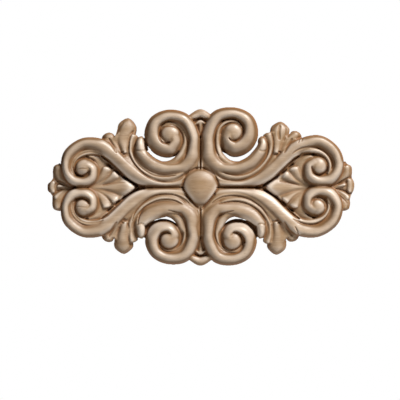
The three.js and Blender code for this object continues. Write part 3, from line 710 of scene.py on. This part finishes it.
# A smooth line through a few drawn points.
def smoothLine(points, parts=6):
    points = [np.array(p, float) for p in points]
    ends = [2 * points[0] - points[1]] + points + [2 * points[-1] - points[-2]]
    out = []
    for a, b, c, d in zip(ends, ends[1:], ends[2:], ends[3:]):
        for k in range(parts):
            t = k / parts
            out.append(0.5 * (2 * b + (c - a) * t + (2 * a - 5 * b + 4 * c - d) * t ** 2
                              + (3 * b - a - 3 * c + d) * t ** 3))
    return out + [points[-1]]


# A knife's groove along a drawn line, narrow at both ends.
def cutGroove(points, wide, deep):
    line = smoothLine(points)
    far = max(wide, 0.3) * 2
    i = np.flatnonzero((columns > min(p[0] for p in line) - far) & (columns < max(p[0] for p in line) + far))
    j = np.flatnonzero((rowsUp > min(p[1] for p in line) - far) & (rowsUp < max(p[1] for p in line) + far))
    window = (slice(j[0], j[-1] + 1), slice(i[0], i[-1] + 1))
    x, z = gridX[window], gridZ[window]
    nearest = np.full(x.shape, 9.0)
    for k, (a, b) in enumerate(zip(line, line[1:])):
        along = b - a
        share = np.clip(((x - a[0]) * along[0] + (z - a[1]) * along[1]) / (along @ along), 0, 1)
        gap = np.hypot(x - a[0] - share * along[0], z - a[1] - share * along[1])
        done = 2 * (k + share) / (len(line) - 1) - 1
        nearest = np.minimum(nearest, gap / (wide * np.sqrt(np.maximum(1.02 - done ** 4, 0.02))))
    relief[window] -= deep * np.maximum(0, 1 - nearest) * (cover[window] > wellCovered)


# The four seams, and the channel between an outer tube and the palmette: (points, width, depth).
seams = [
    ([(8, 0), (20, 0), (32, 0)], 1.0, 1.7), ([(-8, 0), (-20, 0), (-32, 0)], 0.8, 1.2),
    ([(0, 9), (0, 18), (0, 26)], 0.6, 2.2), ([(0, -10), (0, -18), (0, -26)], 0.5, 1.4),
]
channel = ([(31.6, 0.4), (34, 2.2), (37.4, 4.5), (43, 9.9), (47.5, 14.1), (50.5, 16.2)], 1.0, 2.8)
for line, wide, deep in seams:
    cutGroove(line, wide, deep)
for q in quarters:
    cutGroove(inQuarter(channel[0], q), *channel[1:])

# A groove sets the boss off from the steps round it.
fromGroove = np.abs(np.sqrt(1 - inBoss) - boss["grooveAt"]) * boss["half"]
relief -= boss["grooveDeep"] * np.maximum(0, 1 - fromGroove / boss["grooveWide"]) * (cover > wellCovered)
for q in quarters:
    shift = q["thumbShift"]
    creases = [
        ([(29 + shift, 18.9), (31 + shift, 18.4), (33.2 + shift, 19)], 0.8, 0.35),
        ([(39.3 + shift / 2, 18.1), (40.4 + shift / 2, 17.7)], 0.7, 0.9),
        ([(46.6, 25), (44.6, 21.4), (42.4, 17.4)], 1.0, 0.6),
    ]
    for name, line in q["lines"].items():
        creases.append((line, *lineCuts[name]))
    for line, wide, deep in creases + q["knifeLines"]:
        cutGroove(inQuarter(line, q), wide, deep)

relief = np.where(cover > hardlyCovered, np.clip(relief, carving["thinnest"], thick), 0)
cover, relief = cover[::2, ::2], relief[::2, ::2]
xs, zs = columns[::2], rowsUp[::2]

# How deep each place lies under its surroundings, how far it stands above them and how steep it is, as masks
# for painted shade in hollows and on slopes and a painted highlight on crests:
# how far the surroundings go, the difference or slope that counts in full, and the mask's share.
paintedLightMasks = {
    "crease": (0.45, 0.45, 0.65),
    "valley": (1.6, 2.0, 0.6),
    "crest": (1.2, 0.9),
    "slope": (0.35, 1.6),
    "outlineReach": 0.7,
    "outlineRise": 0.4,
}
halfCover = 0.5
solid = (cover > halfCover).astype(float)


def around(reach):
    return soften(relief * solid, reach, step) / np.maximum(soften(solid, reach, step), 1e-3)


def lowIn(reach, full, share):
    return np.clip((around(reach) - relief) / full, 0, 1) * share


# The sunk mask paints shade in creases and valleys.
sunk = lowIn(*paintedLightMasks["crease"]) + lowIn(*paintedLightMasks["valley"])
# The proud mask paints a highlight on the crests.
proud = np.clip((relief - around(paintedLightMasks["crest"][0])) / paintedLightMasks["crest"][1], 0, 1)
tiltZ, tiltX = np.gradient(around(paintedLightMasks["slope"][0]), step)
fromOutline = np.clip((soften(solid, paintedLightMasks["outlineReach"], step) - halfCover) / paintedLightMasks["outlineRise"], 0, 1)
# The steep mask paints shade on slopes; it fades out near the outline.
steep = np.clip(np.hypot(tiltX, tiltZ) / paintedLightMasks["slope"][1], 0, 1) * fromOutline


# Millimetres kept between two sides of the frame's box, which are in metres.
def inBox(place, low, high):
    return min(max(place, low / mm), high / mm)


# Where the outline may cross between two grid points, how low walls lean less, how near a crossing
# the feet are drawn in, in how many rounds, and the three masks at a foot, which paint shade on the walls'
# feet.
walls = {"crossShares": (0.06, 0.94), "ease": 2, "reach": 1.0, "rounds": 5, "masks": (0.15, 0, 0.3)}


# The carved body has its front from the grid, drafted walls and a flat back.
# The outline runs where the cover passes a half, placed between the grid's points.
def carveBody():
    inside = cover > halfCover
    places, masks = [], []
    number = -np.ones(inside.shape, int)
    for j, i in zip(*np.nonzero(inside)):
        number[j, i] = len(places)
        places.append((xs[i], relief[j, i], zs[j]))
        masks.append((sunk[j, i], proud[j, i], steep[j, i]))
    downZ, downX = np.gradient(soften(cover, paintedLightMasks["outlineReach"], step), step)
    outward = {}
    onEdge = {}

    def edgePoint(a, b):
        key = (a, b) if a < b else (b, a)
        if key not in onEdge:
            if not inside[a]:
                a, b = b, a
            share = np.clip((cover[a] - halfCover) / (cover[a] - cover[b]), *walls["crossShares"])
            x = inBox(xs[a[1]] + (xs[b[1]] - xs[a[1]]) * share, cadLow.x, cadHigh.x)
            z = zs[a[0]] + (zs[b[0]] - zs[a[0]]) * share
            here = relief[a] + (relief[b] - relief[a]) * share if relief[b] > 0 else relief[a]
            onEdge[key] = len(places)
            slope = Vector((downX[a] + downX[b], 0, downZ[a] + downZ[b]))
            outward[onEdge[key]] = -slope.normalized()
            places.append((x, here, z))
            masks.append((sunk[a], proud[a], steep[a]))
        return onEdge[key]

    faces, rim = [], []
    count = inside[:-1, :-1].astype(int) + inside[:-1, 1:] + inside[1:, 1:] + inside[1:, :-1]
    for j, i in zip(*np.nonzero(count)):
        corners = ((j, i), (j, i + 1), (j + 1, i + 1), (j + 1, i))
        if count[j, i] == 4:
            faces.append([number[c] for c in corners])
            continue
        ring, crossing = [], []
        for a, b in zip(corners, corners[1:] + corners[:1]):
            if inside[a]:
                ring.append(number[a])
            if inside[a] != inside[b]:
                point = edgePoint(a, b)
                ring.append(point)
                crossing.append((point, inside[a]))
        faces.append(ring)
        for k, (point, leaving) in enumerate(crossing):
            if leaving:
                rim.append((point, crossing[(k + 1) % len(crossing)][0]))

    # the walls lean out a little on their way to the back, but not where their feet would cross
    share = {point: 1.0 for point in outward}
    feet = list(outward)
    order = {point: k for k, point in enumerate(feet)}
    for attempt in range(walls["rounds"]):
        flat = []
        for point in feet:
            x, high, z = places[point]
            lean = outward[point] * (share[point] * carving["wallDraft"] * high / (high + walls["ease"]))
            flat.append(Vector((inBox(x + lean.x, cadLow.x, cadHigh.x),
                                inBox(z + lean.z, cadLow.z, cadHigh.z))))
        cut = delaunay_2d_cdt(flat, [(order[a], order[b]) for a, b in rim], [], 0, 1e-6)
        points, rings, sources = cut[0], cut[2], cut[3]
        crossings = [points[k] for k, given in enumerate(sources) if len(given) != 1]
        if not crossings:
            break
        for point, place in zip(feet, flat):
            if min((place - c).length for c in crossings) < walls["reach"]:
                share[point] = 0.0
    print("back cut in", attempt + 1, "rounds,", len(crossings), "crossings left")
    foot = {}
    sameAs = {given: merged[0] for merged in sources for given in merged[1:]}
    for k, (point, place) in enumerate(zip(feet, flat)):
        if k in sameAs:
            continue
        foot[point] = len(places)
        places.append((place.x, 0, place.y))
        masks.append(walls["masks"])
    for k, first in sameAs.items():
        foot[feet[k]] = foot[feet[first]]
    for a, b in rim:
        faces.append([b, a, foot[a], foot[b]] if foot[a] != foot[b] else [b, a, foot[a]])

    # the flat back is cut into triangles between the feet of the walls
    startOf = [given[0] for given in sources]
    middles = np.array([
        [(points[a].x + points[b].x + points[c].x) / 3, (points[a].y + points[b].y + points[c].y) / 3]
        for a, b, c in rings
    ])
    within = np.zeros(len(middles), bool)
    for a, b in rim:
        (x1, z1), (x2, z2) = flat[order[a]], flat[order[b]]
        crosses = (z1 > middles[:, 1]) != (z2 > middles[:, 1])
        crossAt = (x2 - x1) * (middles[:, 1] - z1) / (z2 - z1 + 1e-12) + x1
        within ^= crosses & (middles[:, 0] < crossAt)
    backs = [[foot[feet[startOf[k]]] for k in reversed(ring)] for ring, keep in zip(rings, within) if keep]

    mesh = bmesh.new()
    verts = [mesh.verts.new((x * mm, -high * mm, z * mm)) for x, high, z in places]
    for ring in faces:
        mesh.faces.new([verts[k] for k in ring]).smooth = True
    for ring in backs:
        mesh.faces.new([verts[k] for k in ring]).material_index = 1
    odd = sum(not edge.is_contiguous for edge in mesh.edges)
    print("edges where faces disagree or a seam is open:", odd)
    body = bpy.data.meshes.new("carvedOnlay")
    mesh.to_mesh(body)
    mesh.free()
    # the masks for painted shade in hollows and on slopes and for the painted crest highlight go onto the
    # points
    for name, column in zip(("sunk", "proud", "steep"), zip(*masks)):
        body.attributes.new(name, "FLOAT", "POINT").data.foreach_set("value", column)
    return body


body = carveBody()
onlay = bpy.data.objects.new("carvedOnlay", body)
bpy.context.collection.objects.link(onlay)
triangles = sum(len(p.vertices) - 2 for p in body.polygons)
print("body carved:", triangles, "triangles")

# What a user would change on the wood, including the painted shade and painted highlight colours. Lengths
# are millimetres, colours are linear.
woodLook = {
    # painted highlight: the proud crests are lightened and greyed like a sheen
    "paintedCrestHighlight": (0.64, 0.55, 0.465),
    "palest": (0.4, 0.285, 0.188),
    "middle": (0.28, 0.178, 0.094),
    "darkGrain": (0.19, 0.108, 0.052),
    # painted shade: slopes turn browner as they steepen, standing in for the shade on them
    "paintedSlopeShade": (0.12, 0.057, 0.017),
    # painted shade: creases and hollows are darkened where less light reaches them
    "paintedHollowShade": (0.18, 0.07, 0.016),
    "poreBrown": (0.09, 0.05, 0.03),
    # shares of a mix: mask values from and to, then the least and the greatest share
    "figure": (0.36, 0.64),
    "fibre": (0.35, 0.75, 0.0, 0.55),
    "cloud": (0.4, 0.7, 0.0, 0.35),
    "steep": (0.05, 0.7, 0.0, 0.88),
    "sunk": (0.03, 0.6, 0.0, 0.9),
    "proud": (0.08, 0.75, 0.0, 0.75),
    "pores": (0.0, 1.0, 0.0, 0.75),
    "grainLong": 26.0,
    "grainWide": 1.5,
    "poreLong": 3.2,
    "poreWide": 0.22,
    "roughness": 0.47,
    "burnish": (0.0, 0.7, 0.0, -0.12),  # the crests are smoother
    "grainRelief": 0.08,
}
backLook = {**woodLook, "grainRelief": 0.16, "roughness": 0.8}

grainInputs = {"Grain Long": "grainLong", "Grain Wide": "grainWide",
               "Pore Long": "poreLong", "Pore Wide": "poreWide"}


# The group draws fine grain along x and short dark pores. It gives masks and a height.
def buildGrain():
    tree = bpy.data.node_groups.new("woodGrain", "ShaderNodeTree")
    face = tree.interface
    face.new_socket("Place", in_out="INPUT", socket_type="NodeSocketVector")
    for name, key in grainInputs.items():
        face.new_socket(name, in_out="INPUT", socket_type="NodeSocketFloat").default_value = woodLook[key]
    for name in ("Figure", "Fibre", "Pores", "Height"):
        face.new_socket(name, in_out="OUTPUT", socket_type="NodeSocketFloat")
    make, join, value = nodeMaker(tree)
    given = make("NodeGroupInput").outputs

    def stretched(long, wide):
        x, z = value("DIVIDE", 1 / mm, given[long]), value("DIVIDE", 1 / mm, given[wide])
        scale = join("ShaderNodeCombineXYZ", {"X": x, "Y": z, "Z": z})
        return join("ShaderNodeVectorMath", {0: given["Place"], 1: scale}, operation="MULTIPLY")

    def noise(place, scale, detail, **more):
        return join("ShaderNodeTexNoise", {"Vector": place, "Scale": scale, "Detail": detail, **more})

    def over(mask, low, high):
        return join("ShaderNodeMapRange", {"Value": mask, "From Min": low, "From Max": high})

    grainPlace = stretched("Grain Long", "Grain Wide")
    figure = noise(grainPlace, 0.45, 3.0, Distortion=0.4)
    fibre = noise(grainPlace, 2.6, 4.0, Roughness=0.6)
    pore = noise(stretched("Pore Long", "Pore Wide"), 0.55, 1.0)
    patch = noise(given["Place"], 55.0, 1.0)
    pores = value("MULTIPLY", over(pore, 0.70, 0.82), over(patch, 0.44, 0.62))
    height = value("MULTIPLY_ADD", pores, -0.9, fibre)
    make("NodeGroupOutput", {"Figure": figure, "Fibre": fibre, "Pores": pores, "Height": height})
    return tree


grainGroup = buildGrain()


def finishWood(material, look, carved):
    material.use_nodes = True
    tree = material.node_tree
    tree.nodes.clear()
    make, join, value = nodeMaker(tree)
    place = make("ShaderNodeTexCoord").outputs["Object"]
    settings = {name: look[key] for name, key in grainInputs.items()}
    grain = make("ShaderNodeGroup", {"Place": place, **settings}, node_tree=grainGroup).outputs

    def mix(share, a, b):
        node = make("ShaderNodeMix", data_type="RGBA")
        for socket, given in ((node.inputs[0], share), (node.inputs[6], a), (node.inputs[7], b)):
            if isinstance(given, bpy.types.NodeSocket):
                tree.links.new(given, socket)
            elif isinstance(given, float):
                socket.default_value = given
            else:
                socket.default_value = (*given, 1)
        return node.outputs[2]

    def band(mask, low, high, least=0.0, most=1.0):
        return join("ShaderNodeMapRange", {"Value": mask, "From Min": low, "From Max": high,
                                           "To Min": least, "To Max": most})

    colour = mix(band(grain["Figure"], *look["figure"]), look["palest"], look["middle"])
    colour = mix(band(grain["Fibre"], *look["fibre"]), colour, look["darkGrain"])
    cloud = join("ShaderNodeTexNoise", {"Vector": place, "Scale": 32.0, "Detail": 2.0})
    colour = mix(band(cloud, *look["cloud"]), colour, look["middle"])
    roughness = band(grain["Fibre"], 0.3, 0.7, look["roughness"] - 0.08, look["roughness"] + 0.1)
    if carved:
        # painted shade on slopes and in hollows and a painted highlight on the crests, laid over the grain
        # by the three masks
        for name, paintedLight in (("steep", "paintedSlopeShade"), ("sunk", "paintedHollowShade"), ("proud", "paintedCrestHighlight")):
            here = make("ShaderNodeAttribute", attribute_name=name).outputs["Fac"]
            colour = mix(band(here, *look[name]), colour, look[paintedLight])
        roughness = value("ADD", roughness, band(here, *look["burnish"]))
    colour = mix(band(grain["Pores"], *look["pores"]), colour, look["poreBrown"])
    bump = join("ShaderNodeBump", {"Height": grain["Height"], "Strength": 0.5,
                                   "Distance": look["grainRelief"] * mm})
    shader = join("ShaderNodeBsdfPrincipled", {
        "Base Color": colour, "Roughness": roughness, "Normal": bump,
        "Specular IOR Level": 0.45, "Sheen Weight": 0.08,
    })
    make("ShaderNodeOutputMaterial", {"Surface": shader})


sawnWood = bpy.data.materials.new("sawnBackWood")
finishWood(wood, woodLook, carved=True)
finishWood(sawnWood, backLook, carved=False)
body.materials.append(wood)
body.materials.append(sawnWood)
print("wood finished")

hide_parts("scroll_onlay")
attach(onlay, "root")

# Floor, light and camera, in metres.
studio = {
    "floorBelow": 0.15,
    "floorHalf": 0.33,
    "floorColour": (0.8, 0.8, 0.79, 1),
    "white": 1.0,
    "fill": 0.04,
    "fillColour": (1, 0.94, 0.87, 1),
    "lampColour": (1, 0.985, 0.96),
    "keyPower": 22.6,
    "keySize": 0.34,
    "keyPlace": (0.52, -0.52, 0.74),
    "sidePower": 0.35,
    "sideSize": 0.6,
    "sidePlace": (-0.7, -0.5, 0.1),
}

floorMesh = bpy.data.meshes.new("paleFloor")
half, low = studio["floorHalf"], -studio["floorBelow"]
corners = [(-half, -half, low), (half, -half, low), (half, half, low), (-half, half, low)]
floorMesh.from_pydata(corners, [], [(0, 1, 2, 3)])
floor = bpy.data.objects.new("paleFloor", floorMesh)
bpy.context.collection.objects.link(floor)
floorPaint = bpy.data.materials.new("paleFloorPaint")
floorPaint.use_nodes = True
paint = floorPaint.node_tree.nodes["Principled BSDF"]
paint.inputs["Base Color"].default_value = studio["floorColour"]
paint.inputs["Roughness"].default_value = 0.9
floorMesh.materials.append(floorPaint)

# The camera sees plain white behind the onlay, and the room gives a weaker, even fill.
room = bpy.data.worlds.new("whiteRoom")
bpy.context.scene.world = room
room.use_nodes = True
roomTree = room.node_tree
roomTree.nodes.clear()
make, join = nodeMaker(roomTree)[:2]
seen = join("ShaderNodeBackground", {"Color": (1, 1, 1, 1), "Strength": studio["white"]})
fill = join("ShaderNodeBackground", {"Color": studio["fillColour"], "Strength": studio["fill"]})
towardsCamera = make("ShaderNodeLightPath").outputs["Is Camera Ray"]
make("ShaderNodeOutputWorld", {"Surface": join("ShaderNodeMixShader", {0: towardsCamera, 1: fill, 2: seen})})


def softLight(name, place, power, size):
    lamp = bpy.data.lights.new(name, "AREA")
    lamp.shape = "SQUARE"
    lamp.size = size
    lamp.energy = power
    lamp.color = studio["lampColour"]
    light = bpy.data.objects.new(name, lamp)
    bpy.context.collection.objects.link(light)
    light.location = place
    light.rotation_euler = (-Vector(place)).to_track_quat("-Z", "Y").to_euler()


softLight("softboxAbove", studio["keyPlace"], studio["keyPower"], studio["keySize"])
softLight("softSide", studio["sidePlace"], studio["sidePower"], studio["sideSize"])

# The photograph looks straight at the face, with the onlay a little above its middle: in millimetres.
view = {"lens": 200.0, "sensor": 36.0, "frameWide": 203.3, "side": -0.2, "farther": 5, "up": -6.4}
cameraData = bpy.data.cameras.new("frontCamera")
cameraData.lens = view["lens"]
cameraData.sensor_width = view["sensor"]
cameraData.clip_start, cameraData.clip_end = 0.05, 20
camera = bpy.data.objects.new("frontCamera", cameraData)
bpy.context.collection.objects.link(camera)
away = view["frameWide"] * mm * view["lens"] / view["sensor"] + view["farther"] * mm
camera.location = (view["side"] * mm, -away, view["up"] * mm)
camera.rotation_euler = (math.pi / 2, 0, 0)
bpy.context.scene.camera = camera
bpy.context.scene.view_settings.view_transform = "Standard"
print("floor, light and camera set")
